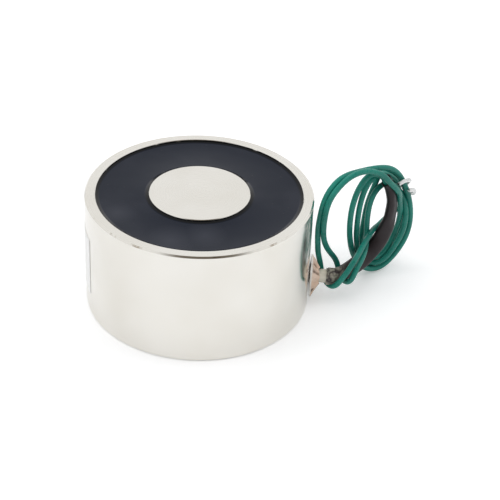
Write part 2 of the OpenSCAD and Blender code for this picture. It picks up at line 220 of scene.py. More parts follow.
# The two leads: side by side through the sleeve, then laid round the coil to their tinned ends
leads = {
    "diameter": 1.3,
    "sides": 16,
    "step": 0.6,
    "apart": 0.68,  # from the sleeve's middle
    "sleevePoints": 15,
    "laidStep": 0.7,
    "rounds": 250,
    "lookEvery": 25,
    "clearance": 0.02,
    "near": 3.0,  # pairs further apart than this can't touch for a while
    "ownPoints": 6,  # a strand doesn't push on this many points to either side
    "mouthPoints": 11,  # nor does the sleeve on the first points out of its mouth
    "potWall": 25.1,
    "bend": 3.3,  # tighter bends ease
    "easeGain": 8.0,
    "easeShare": (0.02, 0.5),
    "drawBack": 0.01,
    "start": {
        "side": -1,
        "laid": [
            (2.4, 27.3, 0.3), (1.3, 27.8, -0.1), (0.2, 27.8, -0.4), (-1.1, 27.1, -0.5), (-2.5, 25.5, -0.5),
            (-3.8, 22.8, -0.5), (-4.5, 19.2, -0.5), (-4.6, 15.4, -0.5), (-4.2, 11.8, -0.5),
            (-3.2, 8, -0.5), (-1.3, 4.3, -0.5), (1.3, 1.7, -0.4), (4.3, 0.8, 0), (7.4, 2, 0.2),
            (10, 4.3, 0.2), (11.8, 6.9, 0.2), (12.7, 9.6, 0.1), (12.9, 12.9, 0), (12.2, 16.5, 0),
            (10.9, 20.2, 0), (8.9, 24.1, 0), (6.6, 26.9, 0), (3.9, 28.5, 0.1), (1.1, 29.3, 0.2),
            (-1.5, 29.6, 0.1), (-4, 29.8, 0.1), (-6.5, 29.9, 0.1), (-9.1, 29.5, 0.2), (-11.1, 27.9, 0.1),
            (-12.4, 25.8, 0), (-13.2, 23.5, 0), (-13.5, 20.6, -0.1), (-13.7, 17.9, -0.3),
            (-13.5, 14.6, -0.4), (-13.2, 11.8, -0.4), (-12.7, 9, -0.3), (-12.4, 8, -0.1),
            (-12.2, 6.6, 0.2), (-12.2, 5.2, 0.6), (-12.1, 4.1, 1.6), (-12.1, 3.8, 3), (-12, 4.1, 4.4),
            (-11.8, 5.2, 5.5), (-11.2, 6.6, 6.1), (-10, 8.1, 6.3), (-8, 9.9, 5.9), (-6.4, 10.7, 5.1),
            (-4.6, 11.3, 4.1), (-2.8, 11.9, 3), (-1, 12.3, 1.9), (0.9, 12.4, 0.7), (3, 12.2, -0.6),
            (5.1, 12, -1.6), (6.8, 12.3, -2.1), (8.2, 13.1, -2.2), (10.1, 14.1, -2), (10.7, 17, -2.1),
            (10.1, 20, -2.1), (8.6, 22.8, -2), (6.4, 24.8, -2), (3.9, 25.8, -2), (1.7, 25.8, -2),
            (-1.1, 24.1, -2), (-2.6, 21.5, -1.9), (-3.3, 18, -1.9), (-3.4, 14.2, -1.9), (-3, 10.5, -1.9),
            (-1.9, 6.8, -1.9), (0, 3.2, -1.8), (2.8, 1.6, -1.4), (5.3, 1.6, -1.3), (8.2, 3.2, -1.4),
            (10.6, 5.7, -1.7), (12.1, 8.4, -1.9), (12.5, 11.4, -1.7), (12.3, 15.1, -1.3),
            (11.8, 18.3, -1.2), (11.36, 20.26, -1.2)],
    },
    "finish": {
        "side": 1,
        "laid": [
            (4.4, 25.8, -0.8), (3.4, 26.5, -1.2), (2, 26.7, -1.4), (0.7, 26, -1.3), (-0.8, 23.3, -1.1),
            (-1.7, 20, -1), (-2, 16.4, -1), (-2, 12.5, -1), (-1.6, 9.2, -1), (-0.6, 6.1, -1),
            (1.1, 3.7, -0.9), (3.5, 3.1, -0.7), (5.6, 3.9, -0.3), (7.4, 5.6, -0.5), (8.9, 7.2, -0.9),
            (9.6, 9.2, -0.9), (10, 11.7, -0.6), (9.7, 14.8, -0.1), (8.2, 19, 0.9), (6.2, 22.4, 1.8),
            (4.2, 24.9, 2.3), (2.4, 27.4, 2.3), (-0.3, 29.5, 2), (-2.8, 30.5, 1.8), (-5.5, 30.8, 1.8),
            (-8.1, 30, 1.6), (-10, 28.5, 1.4), (-11.6, 26.8, 1.3), (-12.6, 24.8, 1.2),
            (-13.1, 22.5, 1.1), (-13.2, 19.5, 0.9), (-12.8, 16.4, 0.6), (-11.8, 13.2, 0.3),
            (-10.1, 10.4, 0.2), (-8.6, 8.2, 0.2), (-8, 6.9, 0.6), (-8, 5.6, 1.2),
            (-8.2, 4.5, 2.1), (-8.4, 4, 3.6), (-8.5, 4.3, 5.1), (-8.4, 5.3, 6.2), (-8, 6.6, 6.6),
            (-7, 8.2, 6.1), (-4.6, 9.1, 4.8), (-2.4, 9.7, 3), (-0.4, 10.3, 0.9), (0.6, 11.9, -0.5),
            (0.7, 14.6, -0.9), (0.8, 17.7, -0.9), (1.4, 20.7, -0.9), (3, 22.5, -1.2), (5.4, 23, -1.6),
            (8, 22.1, -1.7), (10, 19.7, -1.2), (10.6, 17.1, -0.1), (10.8, 14.5, 0.6), (10.6, 11.9, 0.9),
            (9.9, 9, 0.9), (8.5, 6.6, 0.8), (6.7, 4.1, 0.5), (4.2, 2.7, -0.1), (2.5, 2.3, -0.9),
            (1.4, 3.2, -1.5), (0.8, 5.1, -2), (0.6, 7.5, -2.3), (0.7, 10.6, -2.4), (1, 13.6, -2.4),
            (1.4, 17.4, -2.4), (2.3, 20.6, -2.4), (3.6, 23.3, -2.6), (4.9, 25.3, -2.8), (6.9, 25.4, -2.8),
            (9.1, 23.8, -2.7), (11, 21.5, -2.6), (12.18, 19.36, -2.4)],
    },
}


# The stretch of a lead in the sleeve: to its own side of the middle
def inSleeve(setup, which):
    pick = np.linspace(0, len(sleeveLine) - 1, setup["sleevePoints"]).astype(int)
    return (sleeveLine + setup[which]["side"] * setup["apart"] * sleeveWide)[pick]


# A lead as laid, through the sleeve and then its own points, and how many points stay in the sleeve
def laidLead(setup, which):
    start = inSleeve(setup, which)
    line = evenLine(np.r_[start, fromCoil(setup[which]["laid"])], setup["laidStep"])
    return line, int(np.linalg.norm(line - start[-1], axis=1).argmin())


# Push between points of strands that lie closer than a diameter: half of what is lacking, as a mean over all
# that are too close
def pushApart(p, pairs, diameter):
    one, other = pairs
    between = p[one] - p[other]
    far = np.linalg.norm(between, axis=1)
    lacking = np.maximum(diameter - far, 0)
    total = np.zeros_like(p)
    np.add.at(total, one, between * (lacking / far)[:, None])
    count = np.bincount(one[lacking > 0], minlength=len(p))
    return total / np.maximum(count, 1)[:, None] / 2


# Push out of the sleeve: a point inside the oval, which is widened by the strand's radius, moves along the
# oval's normal
def pushOffSleeve(p, radius):
    pick, slab, farOff, force = slice(None, None, 3), 0.5, 9.0, 1.1
    middle, wide, thin, heading = sleeveLine[pick], sleeveWide[pick], sleeveThin[pick], sleeveHeading[pick]
    across, through, along = (p @ way.T - (middle * way).sum(1) for way in (wide, thin, heading))
    halfW, halfT = sleeve["width"] / 2 + radius, sleeve["thickness"] / 2 + radius
    inOval = np.where(np.abs(along) < slab, np.hypot(across / halfW, through / halfT), farOff)
    i, k = np.arange(len(p)), inOval.argmin(1)
    normal = (across[i, k] / halfW**2)[:, None] * wide[k] + (through[i, k] / halfT**2)[:, None] * thin[k]
    return unit(normal + 1e-9) * np.maximum(1 - inOval[i, k], 0)[:, None] * force


# The laid leads let go: strands push apart, off the sleeve, the floor and the pot, tight bends ease to the
# mean of their neighbours, and every point is drawn a little towards where it was laid
def settleLeads(setup):
    laid, held = zip(*(laidLead(setup, which) for which in ("start", "finish")))
    sizes = [len(line) for line in laid]
    p = np.concatenate(laid)
    home, radius = p.copy(), setup["diameter"] / 2
    wire, order = np.repeat([0, 1], sizes), np.concatenate([np.arange(n) for n in sizes])
    first, last = np.array(held)[wire], np.array(sizes)[wire] - 1
    free = (order >= first) & (order < last)
    outside = free & (order >= first + setup["mouthPoints"])
    apart = (wire[:, None] != wire[None]) | (np.abs(order[:, None] - order[None]) > setup["ownPoints"])
    for turn in range(setup["rounds"]):
        if turn % setup["lookEvery"] == 0:  # a fresh look for pairs that could touch
            pairs = np.nonzero(apart & (np.linalg.norm(p[:, None] - p[None], axis=2) < setup["near"]))
        push = pushApart(p, pairs, setup["diameter"] + setup["clearance"])
        push += pushOffSleeve(p, radius) * outside[:, None]
        push[:, 2] += np.maximum(radius - p[:, 2], 0)
        toAxis = np.hypot(p[:, 0], p[:, 1])
        push[:, :2] += p[:, :2] * (np.maximum(setup["potWall"] + radius - toAxis, 0) / toAxis)[:, None]
        p = p + push * free[:, None]
        ease = np.zeros_like(p)
        ease[1:-1] = (p[:-2] + p[2:]) / 2 - p[1:-1]
        sharp = 2 * np.linalg.norm(ease, axis=1) / setup["laidStep"]**2
        share = np.clip((sharp - 1 / setup["bend"]) * setup["easeGain"], *setup["easeShare"])
        p = p + (ease * share[:, None] + (home - p) * setup["drawBack"]) * free[:, None]
    return np.split(p, sizes[:1]), held


settled, heldPoints = settleLeads(leads)


# A lead: a round tube through the sleeve, then through every fourth settled point to its end
def makeLead(setup, which, points, held):
    turns = np.r_[points[held + 4:-3:4], points[-1:]]
    line = evenLine(np.r_[inSleeve(setup, which), turns], setup["step"])
    name, radius = "lead_" + which + "_strand", setup["diameter"] / 2
    return tubeAlong(name, line, radius, sides=setup["sides"], capFirst=True, capLast=True), line


leadStart, leadStartLine = makeLead(leads, "start", settled[0], heldPoints[0])
leadFinish, leadFinishLine = makeLead(leads, "finish", settled[1], heldPoints[1])
print("leads wound:", len(leadStartLine), "and", len(leadFinishLine), "rings")

# Tinned ends: bare wire bent over the outside of the bundle and laid across its front
tinnedEnds = {
    "diameter": 0.95,
    "flutes": 7,
    "fluteDepth": 0.07,
    "pitch": 5.0,
    "step": 0.12,
    "sides": 42,
    "endTaper": 0.35,  # the cut end is drawn in a little over this length
    "start": [
        (11.36, 20.26, -1.2), (11.7, 20.9, -1.4), (12.0, 21.7, -1.1), (11.5, 22.7, -0.2), (10.2, 23.6, 0.8),
        (8.8, 24.2, 1.4), (7.6, 24.3, 1.65), (6.6, 24.1, 1.75)],
    "finish": [
        (12.2, 19.3, -2.4), (13.1, 18.2, -2.4), (13.8, 17.6, -2.0), (14.0, 17.9, -1.2), (13.5, 19.0, -0.3),
        (12.4, 20.2, 0.5), (11.2, 20.9, 1.1), (10.3, 21.1, 1.3)],
}


# Twisted strands: the radius dips between them, and the dips wind round the wire once a pitch
def makeTinnedEnd(setup, which):
    line = evenLine(fromCoil(setup[which]), setup["step"])
    along = np.linspace(0, 1, len(line)) * setup["step"] * len(line)
    a = np.linspace(0, 2 * np.pi, setup["sides"], endpoint=False)
    phase = setup["flutes"] / 2 * (a[None] - 2 * np.pi * along[:, None] / setup["pitch"])
    taper = np.clip((along[-1] - along) / setup["endTaper"], 0, 1)[:, None] ** 0.5 * 0.25 + 0.75
    r = (setup["diameter"] / 2 - setup["fluteDepth"] * (1 - np.abs(np.sin(phase)))) * taper
    name = "tinned_" + which + "_wire"
    return tubeAlong(name, line, r, sides=setup["sides"], capFirst=True, capLast=True)


tinnedStart = makeTinnedEnd(tinnedEnds, "start")
tinnedFinish = makeTinnedEnd(tinnedEnds, "finish")

for obj, line, end, inner in ((leadStart, leadStartLine, tinnedStart, "lead_end_start"),
                              (leadFinish, leadFinishLine, tinnedFinish, "lead_end_finish")):
    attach(obj, "root")
    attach(end, "root")
    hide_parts("lead_coil")
    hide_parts(inner)


# Sleeve: a superellipse carried along its line, round where it starts on the pale tube.
# Cracks run where a sum of three waves passes through nothing, and die away from the exit.
def makeSleeve(setup):
    line, wide, thin = sleeveLine, sleeveWide, sleeveThin
    s = np.arange(len(line)) * setup["step"]
    a = np.linspace(0, 2 * np.pi, setup["sides"], endpoint=False)
    near = (1 / (1 + (s / setup["crinkled"]) ** 6))[:, None]  # crinkled stretch by the exit
    start = np.exp(-(s / setup["startRun"]) ** 2)[:, None]
    radius = setup["startRadius"]
    halfW = (setup["width"] / 2 * (1 - start) + radius * start) + 0.04 * np.sin(0.9 * s + 1.0)[:, None]
    halfT = (setup["thickness"] / 2 * (1 - start) + radius * start) + 0.04 * np.sin(1.3 * s)[:, None]
    cosA, sinA = np.cos(a)[None], np.sin(a)[None]
    x = np.sign(cosA) * np.abs(cosA) ** setup["square"] * halfW
    y = np.sign(sinA) * np.abs(sinA) ** setup["square"] * halfT
    along, about = s[:, None], a[None]
    wave = (np.sin(2 * about + 1.5 * along) + 0.8 * np.sin(3 * about - 2.1 * along + 1.3)
            + 0.4 * np.sin(5 * about + 3.3 * along + 0.4))
    crack = np.exp(-(wave / setup["crackWidth"]) ** 2)
    swell = 1 + near * (0.06 - setup["crackDepth"] * crack) + 0.012 * np.sin(2 * about + 0.8 * along)
    outer = line[:, None] + (x * swell)[..., None] * wide[:, None] + (y * swell)[..., None] * thin[:, None]
    shrink = 1 - 2 * setup["wall"] / setup["width"], 1 - 2 * setup["wall"] / setup["thickness"]
    lip = setup["lipRings"]
    back = slice(-1, -1 - lip, -1)  # the lip turns in and runs a few rings back down the bore
    inner = line[back, None] + (x[back] * shrink[0])[..., None] * wide[back, None] + (
        y[back] * shrink[1])[..., None] * thin[back, None]
    obj = gridSurface("lead_sleeve_flat", np.concatenate([outer, inner]), capLast=True,
                      along=np.r_[s, s[-1] + np.arange(1, lip + 1) * setup["step"]])
    # painted reflection: grey between the cracks of the crinkled stretch, none on the lip
    paintedSheen = np.concatenate([near * (1 - crack), np.zeros((lip, setup["sides"]))])
    pointValue(obj, "paintedSheen", np.r_[paintedSheen.ravel(), 0.0])
    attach(obj, "root")
    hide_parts("lead_sleeve")
    return obj


sleevePiece = makeSleeve(sleeve)

# Pale tube through the wall
paleTube = {
    "from": 24.0,
    "to": 29.3,
    "outer": 1.575,
    "inner": 1.375,
    "height": 6.425,
    "gripAt": 27.2,
    "gripRun": 0.5,
    "gripDepth": 0.05,
    "outOfRound": 0.02,
    "sides": 48,
}


# Its rings run out along the outside, round a rolled lip and back inside. The film's grip draws the outside
# in by a bell curve along the run.
def makePaleTube(setup):
    outRings, backRings = 26, 12
    tip, outer, inner = setup["to"], setup["outer"], setup["inner"]
    a = np.linspace(0, 2 * np.pi, setup["sides"], endpoint=False)
    run = np.r_[np.linspace(setup["from"], tip - 0.08, outRings), tip, tip - 0.02,
                np.linspace(tip - 0.1, setup["from"], backRings)]
    r = np.r_[np.full(outRings, outer), outer - 0.07, inner + 0.06, np.full(backRings, inner)]
    grip = setup["gripDepth"] * np.exp(-((run - setup["gripAt"]) / setup["gripRun"]) ** 2)
    grip = grip * (r > (outer + inner) / 2)
    ring = r[:, None] * (1 + setup["outOfRound"] * np.cos(2 * a[None] + 0.6) - grip[:, None])
    x = np.broadcast_to(run[:, None], ring.shape)
    grid = np.stack([x, ring * np.cos(a), setup["height"] + ring * np.sin(a)], -1)
    grid = np.concatenate([grid, grid[:1]])  # the end in the pot joins inside to outside
    obj = gridSurface("exit_sleeve_tube", grid)
    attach(obj, "root")
    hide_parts("exit_sleeve")
    return obj


paleTubePiece = makePaleTube(paleTube)

# Film collar: a kite stood off the wall round the lead hole and drawn in to a loose mouth round the pale tube
filmCollar = {
    "height": 11.4,
    "width": 5.0,
    "centre": 6.425,
    "wall": 25.03,
    "hole": 1.95,
    "standOff": 0.28,
    "edge": 0.3,
    "reach": 2.3,
    "mouth": 1.8,
    "mouthTall": 0.5,
    "thickness": 0.05,
    "kitePower": 1.2,  # 1 would make straight sides, 2 an ellipse
    "tubeClear": 1.66,
    "creaseAngle": [0, 25, 52, 78, 96, 110, 124, 144, 164, 190, 214, 232, 248, 264, 284, 305, 332],
    "creaseLift": [
        0.1, -0.22, 0.12, -0.2, 0.18, -0.34, 0.14, -0.42, 0.12, -0.06, 0.16, -0.25, 0.1, 0.2, 0.1,
        -0.2, 0.14],
    # the slit is a painted shadow
    "paintedShadowSlit": (240, 218, 8),  # its angle at the edge and at the mouth, and its width in degrees
    "columns": 96,
}


# Rows run from the lead hole out along the wall to the kite, over its cut edge, then in to the mouth.
# Lift swells or draws in the rows between edge and mouth by angle, straight from crease to crease.
def makeFilm(setup):
    cols, power = setup["columns"], setup["kitePower"]
    a = np.linspace(0, 2 * np.pi, cols, endpoint=False)
    c, s = np.cos(a), np.sin(a)
    kite = 1 / (np.abs(c) ** power + np.abs(s) ** power) ** (1 / power)
    wallY, wallZ = setup["width"] / 2 * kite * c, setup["height"] / 2 * kite * s
    mouthY, mouthZ = setup["mouth"] * c, (setup["mouth"] + setup["mouthTall"] * np.abs(s)) * s
    v = np.linspace(0, 1, 11)[:, None]
    y = wallY * (1 - v) ** 1.2 + mouthY * (1 - (1 - v) ** 1.2)
    z = wallZ * (1 - v) ** 1.1 + mouthZ * (1 - (1 - v) ** 1.1)
    angle = np.r_[setup["creaseAngle"], 360]
    lift = np.interp(np.degrees(a), angle, np.r_[setup["creaseLift"], setup["creaseLift"][0]])
    fold = lift[None] * np.sin(np.pi * (0.12 + 0.8 * v)) * (0.75 + 0.25 * np.sin(7 * v + 3 * a[None]))
    onWall = np.sqrt(setup["wall"] ** 2 - wallY ** 2)
    mouthX = setup["wall"] + setup["reach"] + 0.35 * lift + 0.12 * np.sin(5 * a + 1)
    x = (onWall + setup["standOff"] + setup["edge"]) * (1 - v) + mouthX * v
    x = x - 0.5 * fold * (1 - v)  # a crease that draws in also stands further off the wall
    front = np.stack([x, y * (1 + fold), setup["centre"] + z * (1 + fold)], -1)
    edge = np.stack([onWall + setup["standOff"], wallY, setup["centre"] + wallZ], -1)
    holeY, holeZ = setup["hole"] * c, setup["hole"] * s
    hole = np.stack([np.sqrt(setup["wall"] ** 2 - holeY ** 2) + 0.06, holeY, setup["centre"] + holeZ], -1)
    grid = np.concatenate([hole[None], (hole * 0.05 + edge * 0.95)[None], edge[None], front])
    radius = np.hypot(grid[..., 0], grid[..., 1])
    grid[..., :2] *= (np.maximum(radius, setup["wall"]) / radius)[..., None]  # nothing sinks into the pot
    tubeY, tubeZ = grid[..., 1], grid[..., 2] - setup["centre"]
    away = np.hypot(tubeY, tubeZ)
    keep = np.maximum(away, setup["tubeClear"]) / away
    grid[..., 1], grid[..., 2] = tubeY * keep, setup["centre"] + tubeZ * keep  # nor into the tube
    obj = gridSurface("exit_film_collar", grid[:, ::-1], smooth=False)
    # painted shade: where this level is low the film takes its brown, on the two rows by the wall, down the
    # creases that draw in and along the slit
    litLevel = np.concatenate([np.zeros((2, cols)), np.full((2, cols), 0.6), 0.5 + fold[1:] * 1.5])
    # painted shadow: the dark slit
    first, last, wide = setup["paintedShadowSlit"]  # a dark slit from the foot of the cut edge up to the mouth
    paintedShadowSlit = np.exp(-((np.degrees(a)[None] - (first + (last - first) * v)) / wide) ** 2) * np.clip(6 * v, 0, 1)
    litLevel[3:] -= paintedShadowSlit
    pointValue(obj, "paintedLightLevel", np.clip(litLevel, 0, 1)[:, ::-1])
    # the near white on the cut edge is a painted highlight
    cut = np.zeros(litLevel.shape)
    cut[2:4] = 1.0  # the edge row and the first row of the front
    pointValue(obj, "cutEdgeHighlight", cut)
    thick = obj.modifiers.new("sheet", "SOLIDIFY")
    thick.thickness, thick.offset = setup["thickness"] * mm, 1.0
    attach(obj, "root")
    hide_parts("exit_film")
    return obj


filmPiece = makeFilm(filmCollar)
print("sleeve, pale tube and film made")

# Thread in the base: its profile is given as in from the bore and up
baseThread = {
    "radius": 2.1,
    "pitch": 0.8,
    "from": 0.7,
    "to": 9.2,
    "turnSteps": 40,
    "runOut": 1.5,
    "profile": [(0.02, -0.34), (-0.14, -0.12), (-0.2, -0.03), (-0.2, 0.03), (-0.14, 0.12), (0.02, 0.34)],
}


# A ridge that climbs the bore one pitch a turn, and sinks into the wall at both ends
def makeThread(setup):
    turns = (setup["to"] - setup["from"]) / setup["pitch"]
    t = np.linspace(0, 2 * np.pi * turns, int(turns * setup["turnSteps"]) + 1)
    fade = np.clip(np.minimum(t, t[-1] - t) / setup["runOut"], 0, 1)
    dr, dz = np.array(setup["profile"]).T[:, None]
    r = setup["radius"] + np.where(dr < 0, dr * fade[:, None], dr)
    z = setup["from"] + setup["pitch"] * t[:, None] / (2 * np.pi) + dz
    grid = np.stack([r * np.cos(t)[:, None], r * np.sin(t)[:, None], z], -1)
    obj = gridSurface("base_thread_ridge", grid, capFirst=True, capLast=True)
    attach(obj, "root")
    return obj


threadPiece = makeThread(baseThread)
print("thread cut")


# One shader node, with its settings and its sockets given by name
def addNode(tree, kind, **values):
    node = tree.nodes.new(kind)
    for key, value in values.items():
        if hasattr(node, key):
            setattr(node, key, value)
        else:
            node.inputs[key.replace("_", " ")].default_value = value
    return node


# A new node group with the sockets listed for it
def startGroup(name, inputs, outputs):
    group = bpy.data.node_groups.new(name, "ShaderNodeTree")
    for label, kind, value in inputs:
        socket = group.interface.new_socket(name=label, in_out="INPUT", socket_type=kind)
        if value is not None:
            socket.default_value = value
    for label, kind in outputs:
        group.interface.new_socket(name=label, in_out="OUTPUT", socket_type=kind)
    return group, group.nodes.new("NodeGroupInput"), group.nodes.new("NodeGroupOutput")


# One operation on two values, each a number or a socket
def mathNode(tree, operation, first, second=None):
    node = addNode(tree, "ShaderNodeMath", operation=operation)
    for k, value in enumerate((first, second)):
        if isinstance(value, (int, float)):
            node.inputs[k].default_value = value
        elif value is not None:
            tree.links.new(value, node.inputs[k])
    return node.outputs[0]


# Fine grain: a small noise and a slow one, each as a value round a half
def makeGrainGroup():
    group, into, out = startGroup(
        "fineGrain", [("Vector", "NodeSocketVector", None), ("Scale", "NodeSocketFloat", 900.0)],
        [("Grain", "NodeSocketFloat"), ("Cloud", "NodeSocketFloat")])
    small = addNode(group, "ShaderNodeTexNoise", Detail=4.0, Roughness=0.6)
    large = addNode(group, "ShaderNodeTexNoise", Detail=2.0)
    group.links.new(into.outputs["Vector"], small.inputs["Vector"])
    group.links.new(into.outputs["Vector"], large.inputs["Vector"])
    group.links.new(into.outputs["Scale"], small.inputs["Scale"])
    group.links.new(mathNode(group, "MULTIPLY", into.outputs["Scale"], 0.13), large.inputs["Scale"])
    group.links.new(small.outputs["Fac"], out.inputs["Grain"])
    group.links.new(large.outputs["Fac"], out.inputs["Cloud"])
    return group


# Turning marks: noise read along radius plus height, so that it rings the faces and the wall alike
def makeTurnGroup():
    group, into, out = startGroup(
        "turningMarks", [("Vector", "NodeSocketVector", None), ("Density", "NodeSocketFloat", 5000.0)],
        [("Mark", "NodeSocketFloat"), ("Radius", "NodeSocketFloat"), ("Height", "NodeSocketFloat")])
    parts = group.nodes.new("ShaderNodeSeparateXYZ")
    group.links.new(into.outputs["Vector"], parts.inputs[0])
    x, y, z = parts.outputs
    square = mathNode(group, "ADD", mathNode(group, "MULTIPLY", x, x), mathNode(group, "MULTIPLY", y, y))
    radius = mathNode(group, "SQRT", square)
    walk = mathNode(group, "MULTIPLY", mathNode(group, "ADD", radius, z), into.outputs["Density"])
    noise = addNode(group, "ShaderNodeTexNoise", noise_dimensions="1D", Scale=1.0, Detail=3.0, Roughness=0.7)
    group.links.new(walk, noise.inputs["W"])
    group.links.new(noise.outputs["Fac"], out.inputs["Mark"])
    group.links.new(radius, out.inputs["Radius"])
    group.links.new(z, out.inputs["Height"])
    return group


# Specks: the few highest points of a noise, as a mask
def makeSpeckGroup():
    group, into, out = startGroup(
        "specks", [("Vector", "NodeSocketVector", None), ("Scale", "NodeSocketFloat", 1500.0),
                   ("Level", "NodeSocketFloat", 0.72)], [("Mask", "NodeSocketFloat")])
    noise = addNode(group, "ShaderNodeTexNoise", Detail=1.0)
    group.links.new(into.outputs["Vector"], noise.inputs["Vector"])
    group.links.new(into.outputs["Scale"], noise.inputs["Scale"])
    over = mathNode(group, "SUBTRACT", noise.outputs["Fac"], into.outputs["Level"])
    clamp = group.nodes.new("ShaderNodeClamp")
    group.links.new(mathNode(group, "MULTIPLY", over, 25.0), clamp.inputs[0])
    group.links.new(clamp.outputs[0], out.inputs["Mask"])
    return group


grainGroup, turnGroup, speckGroup = makeGrainGroup(), makeTurnGroup(), makeSpeckGroup()


# A new material: its node tree and shader, with the sockets that are the same all over set on the shader
def startFinish(name, **sockets):
    material = bpy.data.materials.new(name)
    material.use_nodes = True
    shader = material.node_tree.nodes["Principled BSDF"]
    for key, value in sockets.items():
        shader.inputs[key.replace("_", " ")].default_value = value
    return material, material.node_tree, shader


# A group in a material, reading Object coordinates
def placeGroup(tree, group, **values):
    node = addNode(tree, "ShaderNodeGroup", node_tree=group)
    coords = tree.nodes.new("ShaderNodeTexCoord")
    tree.links.new(coords.outputs["Object"], node.inputs["Vector"])
    for key, value in values.items():
        node.inputs[key].default_value = value
    return node.outputs


# Straight from low to high while the value goes between its two limits, and level past them
def ramp(tree, value, low, high, fromLow=0.3, fromHigh=0.7):
    node = addNode(tree, "ShaderNodeMapRange", clamp=True)
    for k, v in enumerate((fromLow, fromHigh, low, high)):
        node.inputs[k + 1].default_value = v
    tree.links.new(value, node.inputs[0])
    return node.outputs[0]


# First colour where the factor is nothing, second where it is one
def mixColour(tree, factor, first, second):
    node = addNode(tree, "ShaderNodeMix", data_type="RGBA")
    tree.links.new(factor, node.inputs[0])
    for k, colour in ((6, first), (7, second)):
        if isinstance(colour, tuple):
            node.inputs[k].default_value = colour + (1.0,)
        else:
            tree.links.new(colour, node.inputs[k])
    return node.outputs[2]


# Relief from a height, on the shader's normal
def addBump(tree, shader, height, strength, distance):
    node = addNode(tree, "ShaderNodeBump", Strength=strength, Distance=distance)
    tree.links.new(height, node.inputs["Height"])
    tree.links.new(node.outputs[0], shader.inputs["Normal"])


# What pointValue wrote on the mesh
def readValue(tree, name):
    return addNode(tree, "ShaderNodeAttribute", attribute_name=name).outputs["Fac"]


# A spot round a place: one at its middle or inside the first distance, nothing past the second
def spot(tree, place, inner, outer):
    away = addNode(tree, "ShaderNodeVectorMath", operation="DISTANCE")
    tree.links.new(tree.nodes.new("ShaderNodeTexCoord").outputs["Object"], away.inputs[0])
    away.inputs[1].default_value = place
    return ramp(tree, away.outputs["Value"], 1.0, 0.0, inner, outer)


# Product of any number of masks
def allOf(tree, first, *others):
    for other in others:
        first = mathNode(tree, "MULTIPLY", first, other)
    return first


# Nickel plate: places on it are given as radius and height, in metres, and cuts are levels of the grain
nickelPlate = {
    "plate": (0.845, 0.825, 0.775),
    "dull": (0.80, 0.775, 0.715),
    "resin": (0.004, 0.005, 0.008),
    # painted dark reflection: grey painted on the wall round the lead hole
    "paintedReflection": (0.47, 0.46, 0.43),
    "fleck": (0.48, 0.43, 0.36),
    "leadHole": (0.025, 0.0, 0.0064),
    "paintedReflectionFrom": 0.0030,
    "paintedReflectionTo": 0.0062,
    "rimRadius": 0.02467,
    "rimHeight": 0.02665,
    "fleckCut": (0.55, 0.66),
    "poleRadius": 0.01106,
    "boreRadius": 0.02265,
    "boreTop": 0.02694,
    "boreFloor": 0.0046,
    "wetCut": 0.40,
    "smearFrom": 0.0222,
    "smearTo": (0.02235, 0.02290),
    "smearCut": (0.42, 0.78),
    "faceHeight": 0.02699,
    "rough": (0.15, 0.20),
    "faceRough": 0.09,
    "paintedReflectionRough": 0.30,
}


# Bright plate over turned steel: satin ground faces, polished wall, brownish flecks on the rim's outer edge,
# a grey painted dark reflection round the lead hole, and resin in and beside the groove
def nickelFinish(look):
    material, tree, shader = startFinish("nickelPlate")
    marks = placeGroup(tree, turnGroup, Density=6000.0)
    grain = placeGroup(tree, grainGroup, Scale=700.0)
    plate = mixColour(tree, ramp(tree, grain["Cloud"], 0.0, 1.0, 0.35, 0.75), look["plate"], look["dull"])
    # painted dark reflection: the wall round the lead hole is painted grey in place of a dark reflection, and
    # is rougher there too
    paintedReflection = spot(tree, look["leadHole"], look["paintedReflectionFrom"], look["paintedReflectionTo"])
    plate = mixColour(tree, paintedReflection, plate, look["paintedReflection"])
    ragged = placeGroup(tree, grainGroup, Scale=300.0)["Grain"]

    def past(socket, level):
        return mathNode(tree, "GREATER_THAN", marks[socket], level)

    def short(socket, level):
        return mathNode(tree, "LESS_THAN", marks[socket], level)

    onRim = allOf(tree, past("Radius", look["rimRadius"]), past("Height", look["rimHeight"]))
    fleck = allOf(tree, onRim, ramp(tree, ragged, 0.0, 1.0, *look["fleckCut"]))
    plate = mixColour(tree, fleck, plate, look["fleck"])
    # resin wets the walls of the groove in a broken film, and here and there runs over the edge of the face
    wet = mathNode(tree, "GREATER_THAN", ragged, look["wetCut"])
    onWall = allOf(tree, short("Radius", look["boreRadius"]), short("Height", look["boreTop"]), wet)
    reach = ramp(tree, ragged, *look["smearTo"], *look["smearCut"])
    onFace = allOf(tree, short("Radius", reach), past("Radius", look["smearFrom"]))
    smear = allOf(tree, mathNode(tree, "MAXIMUM", onWall, onFace), past("Radius", look["poleRadius"]),
                  past("Height", look["boreFloor"]))
    tree.links.new(mixColour(tree, smear, plate, look["resin"]), shader.inputs["Base Color"])
    tree.links.new(ramp(tree, smear, 1.0, 0.0, 0.0, 1.0), shader.inputs["Metallic"])
    onTop = mathNode(tree, "MULTIPLY", past("Height", look["faceHeight"]), look["faceRough"])
    rough = mathNode(tree, "ADD", ramp(tree, marks["Mark"], *look["rough"]), onTop)
    rough = mathNode(tree, "ADD", rough, mathNode(tree, "MULTIPLY", paintedReflection, look["paintedReflectionRough"]))
    tree.links.new(rough, shader.inputs["Roughness"])
    addBump(tree, shader, marks["Mark"], 0.015, 0.00002)
    return material


# Potting resin: places and distances in metres
pottingResin = {
    "body": (0.0022, 0.0058, 0.0170),
    # painted highlight colour
    "paintedReflection": (0.0250, 0.0290, 0.0440),
    "speck": (0.025, 0.026, 0.031),
    # painted shade by the groove walls
    "paintedWallShade": (0.0006, 0.0008, 0.0012),
    "byPole": (0.0111, 0.0120),
    "byRim": (0.0218, 0.0226),
    "climb": 5.0,
    # three painted highlights, as pale spots on the front of the resin
    "paintedHighlights": [((-0.017, -0.0087, 0.0264), 0.005), ((-0.0052, -0.0182, 0.0264), 0.006),
               ((0.002, -0.0157, 0.0264), 0.005)],
}
